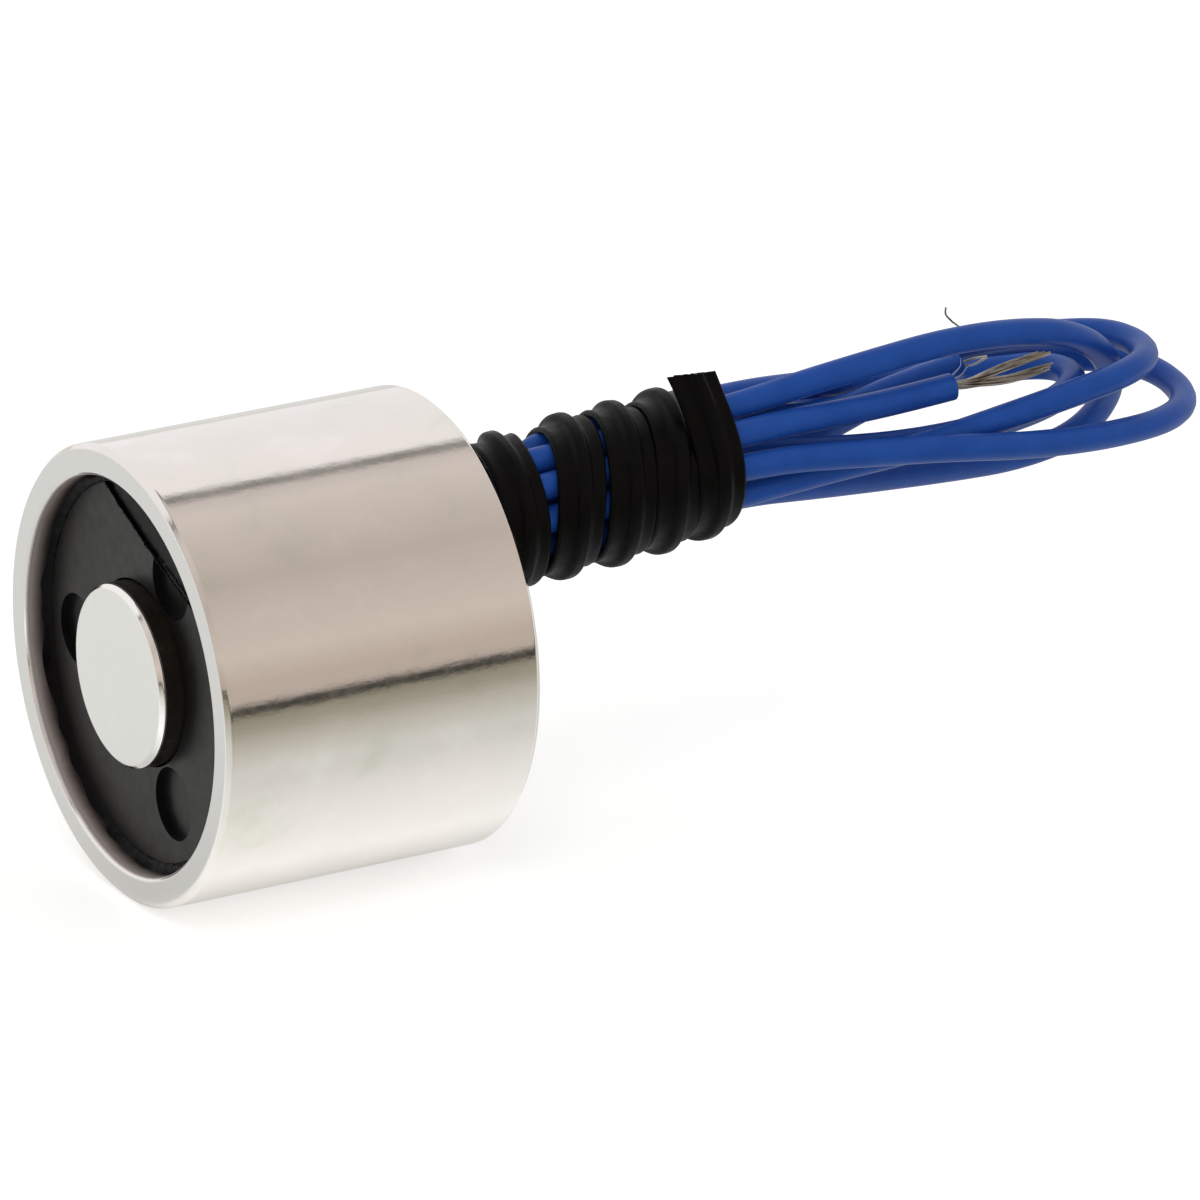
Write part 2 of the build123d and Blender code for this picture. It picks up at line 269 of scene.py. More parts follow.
def mouldedBlack(name, tone, rough, grain=0.004, shine=0.3):
    m = Maker(name)
    m.set(IOR=moulded["ior"], Specular_IOR_Level=shine)
    tones = [tuple(tone * part for part in moulded[key]) for key in ("tint", "tintHigh")]
    m.colour(m.ramp(m.noise(*moulded["toneSize"]), list(zip(moulded["toneStops"], tones))))
    m.roughness(m.ramp(m.noise(*moulded["shineSize"]), list(zip(moulded["shineStops"], rough))))
    m.bump(m.noise(*moulded["flowSize"], stretch=moulded["flowStretch"]), moulded["flow"] * mm)
    m.bump(m.noise(*moulded["grainSize"]), grain * mm)
    return m.material


plain = {"grainSize": (2600, 3), "grain": 0.004}


def plainFinish(name, colour, rough, metallic=0.0):
    m = Maker(name)
    m.set(Base_Color=(*colour, 1), Roughness=rough, Metallic=metallic)
    m.bump(m.noise(*plain["grainSize"]), plain["grain"] * mm)
    return m.material


# Insulation: blue, with the soft shine of vinyl, fine grain and slow dents
insulation = {
    "rough": 0.40, "ior": 1.45, "shine": 0.32, "shineTint": (0.55, 0.74, 1.0),
    "toneSize": (700, 4, 0.55), "tone": [(0.3, (0.012, 0.067, 0.33)), (0.7, (0.016, 0.081, 0.385))],
    "grainSize": (5200, 2), "grain": 0.004, "dentSize": (900, 2), "dent": 0.01,
}


def blueVinyl(v):
    m = Maker("lead blue pvc")
    m.set(Roughness=v["rough"], IOR=v["ior"])
    m.set(Specular_IOR_Level=v["shine"], Specular_Tint=(*v["shineTint"], 1))
    m.colour(m.ramp(m.noise(*v["toneSize"]), v["tone"]))
    m.bump(m.noise(*v["grainSize"]), v["grain"] * mm)
    m.bump(m.noise(*v["dentSize"]), v["dent"] * mm)
    return m.material


# Tinned copper: streaks of bright and dull metal along the wires
tin = {
    "rough": 0.36, "streakSize": (1, 3), "streakStretch": (700, 3500, 3500),
    "streaks": [(0.32, (0.20, 0.18, 0.14)), (0.68, (0.72, 0.70, 0.62))],
}


def tinnedWire(t):
    m = Maker("tinned strands")
    m.set(Metallic=1.0, Roughness=t["rough"])
    m.colour(m.ramp(m.noise(*t["streakSize"], stretch=t["streakStretch"]), t["streaks"]))
    return m.material


leadMaterial = blueVinyl(insulation)
tinnedMaterial = tinnedWire(tin)
nickelMaterial = nickelPlate(plate)
steelMaterial = groundSteel(steel)
bobbinMaterial = mouldedBlack("bobbin plastic", tone=0.005, rough=(0.30, 0.42), shine=0.30)
resinMaterial = mouldedBlack("potting resin", tone=0.003, rough=(0.25, 0.4), shine=0.08)
tieMaterial = mouldedBlack("tie black", tone=0.0028, rough=(0.30, 0.48), grain=0.008, shine=0.07)
copperMaterial = plainFinish("copper wire", (0.62, 0.26, 0.12), 0.35, 1.0)
tapeMaterial = plainFinish("coil tape", (0.62, 0.45, 0.12), 0.45)
solderMaterial = plainFinish("solder", (0.62, 0.62, 0.60), 0.3, 1.0)
shredMaterial = plainFinish("torn skin", (0.42, 0.52, 0.72), 0.4)
wireMaterial = plainFinish("tie wire", (0.42, 0.41, 0.39), 0.4, 1.0)
print("materials made")


# Surfaces: grids of points worked out as whole arrays, in mm
def gridFaces(rows, columns, wrapRows=False):
    # Each quad joins a point to its neighbours in the next row and column. The columns close on
    # themselves.
    row = np.arange(rows if wrapRows else rows - 1)[:, None]
    column = np.arange(columns)[None, :]
    nextRow, nextColumn = (row + 1) % rows, (column + 1) % columns
    corners = [(row, column), (row, nextColumn), (nextRow, nextColumn), (nextRow, column)]
    return np.stack([r * columns + c + 0 * row + 0 * column for r, c in corners], -1).reshape(-1, 4)


def smoothMesh(mesh, sharpAngle):
    mesh.polygons.foreach_set("use_smooth", np.ones(len(mesh.polygons), bool))
    mesh.set_sharp_from_angle(angle=np.radians(sharpAngle))


def finishMesh(mesh, sharpAngle):
    # Seams and poles are closed, faces turned outwards, and edges sharper than an angle kept crisp.
    work = bmesh.new()
    work.from_mesh(mesh)
    bmesh.ops.remove_doubles(work, verts=work.verts, dist=weld)
    bmesh.ops.dissolve_degenerate(work, edges=work.edges, dist=weld / 10)
    bmesh.ops.recalc_face_normals(work, faces=work.faces)
    work.to_mesh(mesh)
    work.free()
    smoothMesh(mesh, sharpAngle)


def surface(name, points, faces, sharpAngle=35):
    mesh = bpy.data.meshes.new(name)
    points = np.asarray(points, float).reshape(-1, 3) * mm
    mesh.from_pydata(points.tolist(), [], faces.tolist())
    finishMesh(mesh, sharpAngle)
    piece = bpy.data.objects.new(name, mesh)
    scene.collection.objects.link(piece)
    return piece


def keep(piece, material, slot, *nodes):
    piece.data.materials.clear()
    piece.data.materials.append(material)
    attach(piece, "root")
    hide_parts(*nodes)
    return piece


def softOutline(corners, cut, steps=5, closed=False):
    # Each corner becomes a short arc: a blend (1-s)^2 A + 2s(1-s) B + s^2 C of the points a cut
    # before it, at it and a cut after it, with one more point on the straight each side. A cut takes
    # a share of the shorter side at most.
    most, further = 0.35, 0.3
    corners = np.asarray(corners, float)
    before, after = np.roll(corners, 1, 0) - corners, np.roll(corners, -1, 0) - corners
    lengths = [np.linalg.norm(side, axis=1, keepdims=True) for side in (before, after)]
    reach = np.minimum(cut, most * np.minimum(*lengths))
    before, after = (before / lengths[0] * reach)[:, None], (after / lengths[1] * reach)[:, None]
    middle = corners[:, None]
    s = np.linspace(0, 1, steps)[None, :, None]
    start, stop = middle + before, middle + after
    arcs = (1 - s) ** 2 * start + 2 * s * (1 - s) * middle + s**2 * stop
    arcs = np.concatenate([start + further * before, arcs, stop + further * after], 1)
    if closed:
        return arcs.reshape(-1, 2)
    return np.concatenate([corners[:1], arcs[1:-1].reshape(-1, 2), corners[-1:]])


def turnedPoints(outline, columns):
    # Outline points (x, r) go round the X axis: y = r cos a, z = r sin a. A row of r may vary with a.
    angle = np.linspace(0, 2 * np.pi, columns, endpoint=False)[None, :]
    x, r = outline[:, :1] + 0 * angle, outline[:, 1:] + 0 * angle
    return np.stack([x, r * np.cos(angle), r * np.sin(angle)], -1)


def drill(piece, xStart, xEnd, radius, y, z, flare=0.0, columns=64):
    # A round hole along X, cut by a turned plug that ends 1 mm past the hole's mouth. The mouth may
    # open out by a flare.
    mouth, wide = xEnd - 1, radius + 2 * flare
    outline = np.array([
        (xStart, 0), (xStart, radius), (mouth - flare, radius), (mouth + flare, wide),
        (xEnd, wide), (xEnd, 0),
    ])
    points = turnedPoints(outline, columns) + np.array([0, y, z])
    cutter = surface("cutter", points, gridFaces(len(outline), columns))
    cut = piece.modifiers.new("hole", "BOOLEAN")
    cut.operation, cut.solver, cut.object = "DIFFERENCE", "EXACT", cutter
    graph = bpy.context.evaluated_depsgraph_get()
    mesh = bpy.data.meshes.new_from_object(piece.evaluated_get(graph))
    piece.modifiers.clear()
    piece.data = mesh
    bpy.data.objects.remove(cutter)
    smoothMesh(mesh, 35)


def wobble(angle, seed, waves, lowest=1):
    # An uneven edge that closes on itself: sum of h sin(n a + phase) over the waves n, with random
    # phases and heights h of 0.4 to 1 over the root of n, divided by the root of half the sum of h^2.
    rng = np.random.default_rng(seed)
    number = np.arange(lowest, lowest + waves)[:, None]
    phase = rng.uniform(0, 2 * np.pi, (waves, 1))
    height = rng.uniform(0.4, 1, (waves, 1)) / np.sqrt(number)
    return (height * np.sin(number * angle + phase)).sum(0) / np.sqrt((height**2).sum() / 2)


# Cup: turned steel, nickel plated, with the lead hole in its rear wall
cup = {
    "radius": 10.0, "length": 15.0, "bore": 8.65, "rearWall": 3.0, "spigotHole": 2.51,
    "rimChamfer": 0.25, "boreChamfer": 0.15, "edge": 0.06, "columns": 288,
    "leadHole": 1.55, "leadHoleY": -1.858, "leadHoleZ": 4.224, "leadHoleFlare": 0.06,
}


def makeCup(c):
    back, wall, rim, bore = -c["length"], -c["rearWall"], c["rimChamfer"], c["boreChamfer"]
    outline = softOutline([
        (back, c["bore"] + bore), (back, c["radius"] - rim), (back + rim, c["radius"]),
        (-rim, c["radius"]), (0, c["radius"] - rim), (0, c["spigotHole"]),
        (wall, c["spigotHole"]), (wall, c["bore"]), (back + bore, c["bore"]),
    ], c["edge"], closed=True)
    faces = gridFaces(len(outline), c["columns"], wrapRows=True)
    piece = surface("cup", turnedPoints(outline, c["columns"]), faces)
    drill(piece, wall - 1, 1, c["leadHole"], c["leadHoleY"], c["leadHoleZ"], c["leadHoleFlare"])
    return keep(piece, nickelMaterial, "nickel_plate", "housing")


# Core: a ground pole face, a spigot through the rear wall, and a thread in it
core = {
    "radius": 4.0, "chamfer": 0.2, "spigot": 2.5, "leadIn": 0.3, "edge": 0.05, "columns": 120,
    "minor": 1.25, "threadHeight": 0.25, "pitch": 0.5, "depth": 6.0, "mouth": 0.3, "drillAngle": 118,
    "flankSlope": 1.6, "flankDrop": 0.3, "rowsPerPitch": 14, "drillStep": 0.02, "scallopFrom": -5.0,
}


def threadRadius(c, x, angle):
    # Height of a ridge that moves on by one pitch a turn: a clipped triangle wave of x/pitch - a/2pi,
    # as slope (1 - |2 phase - 1|) - drop. Near the mouth a cone takes over.
    phase = (x / c["pitch"] - angle / (2 * np.pi)) % 1
    wave = np.clip(c["flankSlope"] * (1 - np.abs(2 * phase - 1)) - c["flankDrop"], 0, 1)
    return np.maximum(c["minor"] + c["threadHeight"] * wave, c["minor"] + c["mouth"] + x)


def makeCore(c):
    back, wall, chamfer = -cup["length"], -cup["rearWall"], c["chamfer"]
    outside = softOutline([
        (back, 0), (back, c["radius"] - chamfer), (back + chamfer, c["radius"]), (wall, c["radius"]),
        (wall, c["spigot"]), (-c["leadIn"], c["spigot"]), (0, c["spigot"] - c["leadIn"]),
        (0, c["minor"] + c["mouth"]),
    ], c["edge"])
    angle = np.linspace(0, 2 * np.pi, c["columns"], endpoint=False)
    x = -np.linspace(0, c["depth"], int(c["depth"] / c["pitch"] * c["rowsPerPitch"]))[:, None]
    thread = np.stack(np.broadcast_arrays(x, threadRadius(c, x, angle)), -1)
    point = c["minor"] / np.tan(np.radians(c["drillAngle"] / 2))
    end = np.array([(-c["depth"] - c["drillStep"], c["minor"]), (-c["depth"] - point, 0)])
    outsideRows, endRows = (np.repeat(part[:, None], c["columns"], 1) for part in (outside, end))
    grid = np.concatenate([outsideRows, thread, endRows])
    x, r = grid[..., 0], grid[..., 1]
    points = np.stack([x, r * np.cos(angle), r * np.sin(angle)], -1)
    piece = surface("poleCore", points, gridFaces(len(grid), c["columns"]), 40)
    drill(piece, c["scallopFrom"], wall + 1, cup["leadHole"], cup["leadHoleY"], cup["leadHoleZ"])
    return keep(piece, steelMaterial, "core_steel", "core")


makeCup(cup)
makeCore(core)
print("cup and core turned")


# Bobbin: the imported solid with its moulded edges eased
bobbin = {
    "easing": 0.045, "steps": 2,
    "angle": 30, "flatJoin": 0.5,  # degrees
    "weld": 1e-7,  # m
}


def easedNode(name, pieceName, material, slot, b):
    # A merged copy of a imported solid, with flat stretches joined and a small bevel on sharp edges.
    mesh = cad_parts[name].data.copy()
    mesh.name = pieceName
    work = bmesh.new()
    work.from_mesh(mesh)
    bmesh.ops.remove_doubles(work, verts=work.verts, dist=b["weld"])
    join = np.radians(b["flatJoin"])
    bmesh.ops.dissolve_limit(work, angle_limit=join, verts=work.verts, edges=work.edges)
    work.to_mesh(mesh)
    work.free()
    old = ("custom_normal", "sharp_face", "sharp_edge")
    for attribute in [a for a in mesh.attributes if a.name in old]:
        mesh.attributes.remove(attribute)
    smoothMesh(mesh, b["angle"])
    piece = bpy.data.objects.new(pieceName, mesh)
    scene.collection.objects.link(piece)
    bevel = piece.modifiers.new("easing", "BEVEL")
    bevel.width, bevel.segments = b["easing"] * mm, b["steps"]
    bevel.limit_method, bevel.angle_limit = "ANGLE", np.radians(b["angle"])
    bevel.harden_normals = True
    return keep(piece, material, slot, name)


easedNode("bobbin", "bobbinEased", bobbinMaterial, "bobbin_plastic", bobbin)

# Resin: it creeps up the bore in an uneven rim, and leaves an uneven bead along the bobbin's flat
resin = {
    "face": -13.75, "wall": 8.645, "columns": 900, "rimSeed": 5, "rimSteps": 7,
    "rimWidth": 0.26, "widthUneven": 0.22, "widthWaves": (90, 2),  # how many, and the lowest
    "rimClimb": 0.30, "climbUneven": 0.25, "climbWaves": (40, 2),
    "rimLeast": 0.05, "rimLift": 0.02, "rimRoot": 0.1,
    "flatDistance": 6.05, "flatHollow": 0.25, "flatAngle": 110.5, "flatHalf": 5.45,
    "flatUneven": 0.02, "flatWaves": (120, 3),
    "beadFace": -13.86, "beadRadius": 0.045, "beadUneven": 0.35, "beadWaves": (150, 5),
    "beadSeed": 9, "beadSteps": 420, "beadSides": 8,
}


def makeResinRim(s):
    # Round the bore: from a height up the wall, r falls by a width as x sinks to the resin's face,
    # along x = face - lift - climb (1-t)^2. Width and climb are wobbles of the angle, and the last
    # two rows root the rim in the resin.
    angle = np.linspace(0, 2 * np.pi, s["columns"], endpoint=False)
    width = 1 + s["widthUneven"] * wobble(angle, s["rimSeed"], *s["widthWaves"])
    climb = 1 + s["climbUneven"] * wobble(angle, s["rimSeed"] + 1, *s["climbWaves"])
    width = s["rimWidth"] * width + s["rimLeast"]
    climb = s["rimClimb"] * climb + s["rimLeast"]
    t = np.linspace(0, 1, s["rimSteps"])[:, None]
    x = s["face"] - climb * (1 - t) ** 2 - s["rimLift"]
    r = s["wall"] - width * t
    x = np.concatenate([x, [s["face"] + s["rimRoot"] + 0 * angle] * 2])
    r = np.concatenate([r, [s["wall"] - width, s["wall"] + 0 * angle]])
    points = np.stack([x, r * np.cos(angle), r * np.sin(angle)], -1)
    piece = surface("resinRim", points, gridFaces(len(x), s["columns"], wrapRows=True), 60)
    return keep(piece, resinMaterial, "potting_resin")


def carried(path, side, up, profile, slide=0):
    # A profile (a, b) stands at each point of a path as P + a side + b up, plus a slide of its own.
    # The end rows close it.
    shape = np.broadcast_to(profile, (len(path),) + np.shape(profile)[-2:])
    points = path[:, None] + side[:, None] * shape[..., :1] + up[:, None] * shape[..., 1:] + slide
    first, last = points[:1].mean(1, keepdims=True), points[-1:].mean(1, keepdims=True)
    count = points.shape[1]
    return np.concatenate([np.repeat(first, count, 1), points, np.repeat(last, count, 1)])


def sidesOf(path, fixed):
    # Unit vectors square to a path: side = along x fixed, and up = side x along.
    along = np.gradient(path, axis=0)
    along /= np.linalg.norm(along, axis=1, keepdims=True)
    side = np.cross(along, fixed)
    side /= np.linalg.norm(side, axis=1, keepdims=True)
    return side, np.cross(side, along)


def ring(count, radius=1.0):
    angle = np.linspace(0, 2 * np.pi, count, endpoint=False)
    return radius * np.stack([np.cos(angle), np.sin(angle)], -1)


def makeFlatBead(s):
    # Along the flat: distance = flat - hollow (1-t^2) and a wobble, across = t half, with an uneven
    # round section.
    t = np.linspace(-1, 1, s["beadSteps"])
    turn = np.radians(s["flatAngle"])
    uneven = s["flatUneven"] * wobble(t * np.pi, s["beadSeed"], *s["flatWaves"])
    distance = s["flatDistance"] - s["flatHollow"] * (1 - t**2) + uneven
    across = t * s["flatHalf"]
    y = distance * np.cos(turn) - across * np.sin(turn)
    z = distance * np.sin(turn) + across * np.cos(turn)
    path = np.stack([s["beadFace"] + 0 * t, y, z], -1)
    outward = np.array([(0, np.cos(turn), np.sin(turn))]) + 0 * path
    forward = np.array([(-1.0, 0, 0)]) + 0 * path
    uneven = s["beadUneven"] * wobble(t * np.pi, s["beadSeed"] + 1, *s["beadWaves"])
    radius = s["beadRadius"] * (1 + uneven)
    profile = radius[:, None, None] * ring(s["beadSides"])
    points = carried(path, outward, forward, profile)
    piece = surface("flatBead", points, gridFaces(len(points), s["beadSides"]), 60)
    return keep(piece, resinMaterial, "potting_resin")


makeResinRim(resin)
makeFlatBead(resin)


def paint(material, slot, *names):
    for name in names:
        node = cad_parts[name]
        node.data.materials.clear()
        node.data.materials.append(material)


paint(resinMaterial, "potting_resin", "potting", "exit_resin")
paint(copperMaterial, "copper_wire", "winding", "coil_wire_1", "coil_wire_2")
paint(tapeMaterial, "coil_tape", "coil_tape")
paint(solderMaterial, "solder", "solder_joint_1", "solder_joint_2")
print("bobbin and resin set")


# Leads: the bundle inside the tie, then loops, folds and ends, in mm, as the part's source has them
bundle = {
    "y": -3.5, "z": 5.53, "radius": 2.2, "middleRadius": 0.87,
    "slope": 0.055, "steepSlope": 0.08, "bendX": 5.8, "endX": 12.9,
    "inset": 2.8, "nearFoldX": 1.0, "highFoldX": 2.6,
    "angles": {
        "exit1": 339, "exit2": 304, "low": 270, "lowNear": 225, "near": 180, "highNear": 143,
        "top": 108, "highFar": 67, "far": 14, "middle": -31,
    },
}
leads = {
    "diameter": 1.2,
    "firstLoop1": [
        (18.8, -0.1, 6.1), (23.3, 0.7, 6.8), (27.6, 1.1, 7.1), (31.5, 1.0, 6.9),
        (33.6, -1.2, 7.3), (33.5, -4.4, 7.4), (31.2, -6.7, 7.6), (27.3, -7.3, 7.3),
        (23.8, -6.9, 6.6), (20.5, -6.2, 5.8), (17.1, -5.6, 5.4),
    ],
    "secondLoop1": [
        (18.0, -2.0, 7.9), (22.9, -0.8, 6.9), (27.8, 0.0, 6.1), (30.0, -1.5, 6.5),
        (30.1, -3.9, 6.7), (28.2, -5.6, 6.5), (25.1, -5.6, 5.9), (21.5, -4.9, 5.5),
        (17.6, -3.9, 5.5),
    ],
    "end1": [(16.9, -5.5, 7.8), (20.1, -5.6, 7.9), (22.6, -5.7, 8.1)],
    "firstLoop2": [
        (18.6, -0.7, 4.9), (23.9, 1.3, 5.5), (29.0, 2.0, 5.7), (33.4, 1.6, 5.3),
        (35.8, -0.6, 5.2), (35.8, -3.9, 4.8), (33.5, -6.4, 4.9), (29.5, -7.6, 5.2),
        (25.1, -8.1, 5.7), (21.1, -8.0, 6.3), (17.7, -7.1, 6.4),
    ],
    "secondLoop2": [
        (17.6, -2.7, 3.5), (21.6, -1.4, 2.7), (25.8, -0.3, 2.0), (29.7, 0.6, 1.5),
        (32.6, 0.3, 2.1), (33.3, -1.5, 4.4), (31.7, -3.9, 7.3), (29.0, -5.2, 9.3),
        (25.5, -5.7, 10.1), (22.0, -5.7, 10.2), (18.9, -5.4, 9.8), (15.8, -4.8, 9.2),
    ],
    "end2": [(18.3, -2.8, 6.6), (21.6, -3.0, 7.5), (24.6, -2.9, 7.8)],
    "length1": 159.6, "length2": 178.2,  # mm along the tubes
}


def strandPlace(name, x):
    # A strand stands on a circle about the bundle's line, which rises with x and then rises more.
    b = bundle
    radius = b["middleRadius"] if name == "middle" else b["radius"]
    angle = np.radians(b["angles"][name])
    rise = b["slope"] * min(max(x, 0), b["bendX"]) + b["steepSlope"] * max(x - b["bendX"], 0)
    return (x, b["y"] + radius * np.cos(angle), b["z"] + rise + radius * np.sin(angle))


def strandOut(name):
    return [strandPlace(name, bundle["bendX"]), strandPlace(name, bundle["endX"])]


def leadFold(nameIn, nameOut, x):
    back = list(reversed(strandOut(nameIn)))
    return back + [strandPlace(nameIn, x), strandPlace(nameOut, x)] + strandOut(nameOut)


def leadStart(name):
    return [strandPlace(name, -bundle["inset"]), strandPlace(name, 0)] + strandOut(name)


route1 = (
    leadStart("exit1") + leads["firstLoop1"] + leadFold("lowNear", "highFar", bundle["highFoldX"])
    + leads["secondLoop1"] + leadFold("middle", "highNear", bundle["nearFoldX"]) + leads["end1"]
)
route2 = (
    leadStart("exit2") + leads["firstLoop2"] + leadFold("near", "low", bundle["nearFoldX"])
    + leads["secondLoop2"] + leadFold("top", "far", bundle["nearFoldX"]) + leads["end2"]
)


def splineCurve(name, route, thickness, resolution=12, rings=6):
    # One NURBS spline with the route's points as its control points.
    data = bpy.data.curves.new(name, "CURVE")
    data.dimensions = "3D"
    spline = data.splines.new("NURBS")
    spline.points.add(len(route) - 1)
    for point, place in zip(spline.points, route):
        point.co = (*[value * mm for value in place], 1)
    spline.order_u = 3
    spline.use_endpoint_u = True
    spline.resolution_u = resolution
    data.bevel_depth = thickness / 2 * mm
    data.bevel_resolution = rings
    data.use_fill_caps = True
    piece = bpy.data.objects.new(name, data)
    scene.collection.objects.link(piece)
    return piece


def makeLead(name, route, node):
    piece = splineCurve(name, route, leads["diameter"])
    return keep(piece, leadMaterial, "lead_blue", node)


# Tie: a ribbed ribbon wound from under the bundle, up its near side, with the last end standing up
tie = {
    "inner": 2.96, "width": 2.3, "thickness": 0.28, "height": 0.65, "ribHalf": 0.33, "wire": 0.3,
    "y": -3.5, "z": 5.48, "slope": 0.068,
    # x at each quarter of a turn: under, near side, over, far side
    "quartersX": [
        (1.45, 1.2, 1.5, 2.85), (3.95, 3.82, 4.9, 5.45), (6.4, 6.32, 7.3, 7.9),
        (8.75, 8.6, 9.6, 10.0), (10.75, 10.7),
    ],
    "startAngle": 25, "startLoose": 0.3, "looseReach": 45, "overDrop": 0.3,
    "leaveAngle": 18, "end": 3.8, "endLean": -0.75, "endBend": 1.6,
    "stepsPerTurn": 96, "endSteps": 30,
    "cutSlant": -0.37, "slantBend": 2, "cutUneven": 0.04, "cutReach": 24, "cutWaves": (10, 2),
    "uneven": 0.05, "unevenSeed": 3, "unevenTurns": 5, "unevenWaves": (12, 3),
    "lean": 3.5, "leanWaves": (9, 2),
    "ribSpread": 1.12, "foot": 0.10, "footReach": 0.14, "lip": 0.035,
    "profileSteps": 41, "underStep": 8, "edgeSteps": 7, "wireSides": 12,
}


def smoothThrough(knots, values, where):
    # A cubic between each two knots, whose slope at a knot is that of the line past it.
    slopes = np.gradient(values, knots)
    index = np.clip(np.searchsorted(knots, where, "right") - 1, 0, len(knots) - 2)
    gap = knots[index + 1] - knots[index]
    s = (where - knots[index]) / gap
    low, high = values[index], values[index + 1]
    return (
        (1 + 2 * s) * (1 - s) ** 2 * low + s**2 * (3 - 2 * s) * high
        + gap * s * (1 - s) ** 2 * slopes[index] - gap * s**2 * (1 - s) * slopes[index + 1]
    )


def tiePath(t, radius):
    # Round the bundle: y = centre - r sin a, z = centre - r cos a, with a = 0 under it, and x
    # through the quarters' values. The start hangs loose, by a bell curve of a, and r is less over
    # the top, by a squared cosine. Past the last near side it leaves along the tangent, and bends
    # aside by lean s^bend.
    quarters = np.array([x for turn in t["quartersX"] for x in turn])
    knots = np.arange(len(quarters)) * 90.0
    leave = knots[-1] + t["leaveAngle"]
    count = int(t["stepsPerTurn"] * (leave + t["startAngle"]) / 360)
    angle = np.linspace(-t["startAngle"], leave, count)
    x = smoothThrough(knots, quarters, np.clip(angle, 0, knots[-1]))
    turn = np.radians(angle)
    r = radius + t["uneven"] * wobble(turn / t["unevenTurns"], t["unevenSeed"], *t["unevenWaves"])
    r = r + t["startLoose"] * np.exp(-((angle + t["startAngle"]) / t["looseReach"]) ** 2)
    r = r - t["overDrop"] * (0.5 - 0.5 * np.cos(turn)) ** 2
    path = np.stack([x, t["y"] - r * np.sin(turn), t["z"] + t["slope"] * x - r * np.cos(turn)], -1)
    outward = np.stack([0 * x, -np.sin(turn), -np.cos(turn)], -1)
    s = np.linspace(0, 1, t["endSteps"] + 1)[1:, None]
    straight = np.array([(0, -np.cos(turn[-1]), np.sin(turn[-1]))])
    aside = np.array([(1.0, 0, 0)]) * t["endLean"] * s ** t["endBend"]
    rise = path[-1:] + straight * t["end"] * s + aside
    path = np.concatenate([path, rise])
    outward = np.concatenate([outward, np.repeat(outward[-1:], len(rise), 0)])
    side, up = sidesOf(path, outward)
    whole = np.linspace(0, 2 * np.pi, len(path))
    lean = np.radians(t["lean"]) * wobble(whole, t["unevenSeed"] + 4, *t["leanWaves"])[:, None]
    return path, side * np.cos(lean) + up * np.sin(lean), up * np.cos(lean) - side * np.sin(lean)


def tieProfile(t):
    # Flat underneath, with a rounded rib on top: b = thickness + rib (1 - (a/w)^4)^(1/2) within the
    # rib's half width w. A bell curve eases it into the ribbon, lip (a/half)^6 lifts the borders, and
    # the edges are round.
    half, edge = t["width"] / 2, t["thickness"] / 2
    a = np.linspace(-half + edge, half - edge, t["profileSteps"])
    rise = np.clip(1 - (a / (t["ribHalf"] * t["ribSpread"])) ** 4, 0, 1)
    rib = (t["height"] - t["thickness"]) * np.sqrt(rise)
    foot = t["foot"] * np.exp(-((np.abs(a) - t["ribHalf"]) / t["footReach"]) ** 2)
    lip = t["lip"] * (np.abs(a) / half) ** 6
    top = np.stack([a, t["thickness"] + np.maximum(rib, foot) + lip], -1)
    corner = np.linspace(np.pi / 2, -np.pi / 2, t["edgeSteps"])[1:-1]
    right = np.stack([half - edge + edge * np.cos(corner), edge + edge * np.sin(corner)], -1)
    back = a[::-t["underStep"]]
    under = np.stack([back, 0 * back], -1)
    left = right[::-1] * (-1, 1)
    return np.concatenate([top, right, under, left])


def makeTie(t):
    # The cut is level: the last rows slide along the ribbon by across x slant, and the very last
    # ones by a wobble too.
    path, side, up = tiePath(t, t["inner"])
    profile = tieProfile(t)
    across = profile[:, 0]
    place = across * 2 * np.pi / t["width"]
    uneven = t["cutUneven"] * wobble(place, t["unevenSeed"] + 8, *t["cutWaves"])
    share = np.clip(np.linspace(1 - len(path) / t["endSteps"], 1, len(path)), 0, 1)[:, None]
    amount = share ** t["slantBend"] * across * t["cutSlant"] + share ** t["cutReach"] * uneven
    slide = amount[..., None] * np.cross(up, side)[:, None]
    points = carried(path, side, up, profile, slide)
    piece = surface("tieRibbon", points, gridFaces(len(points), len(profile)), 50)
    keep(piece, tieMaterial, "tie_black", "lead_tie")
    centre = path + up * (t["height"] - t["ribHalf"])
    points = carried(centre, side, up, ring(t["wireSides"], t["wire"] / 2))
    wire = surface("tieWire", points, gridFaces(len(points), t["wireSides"]), 60)
    keep(wire, wireMaterial, "tie_steel", "tie_wire")


makeTie(tie)
print("tie wound")


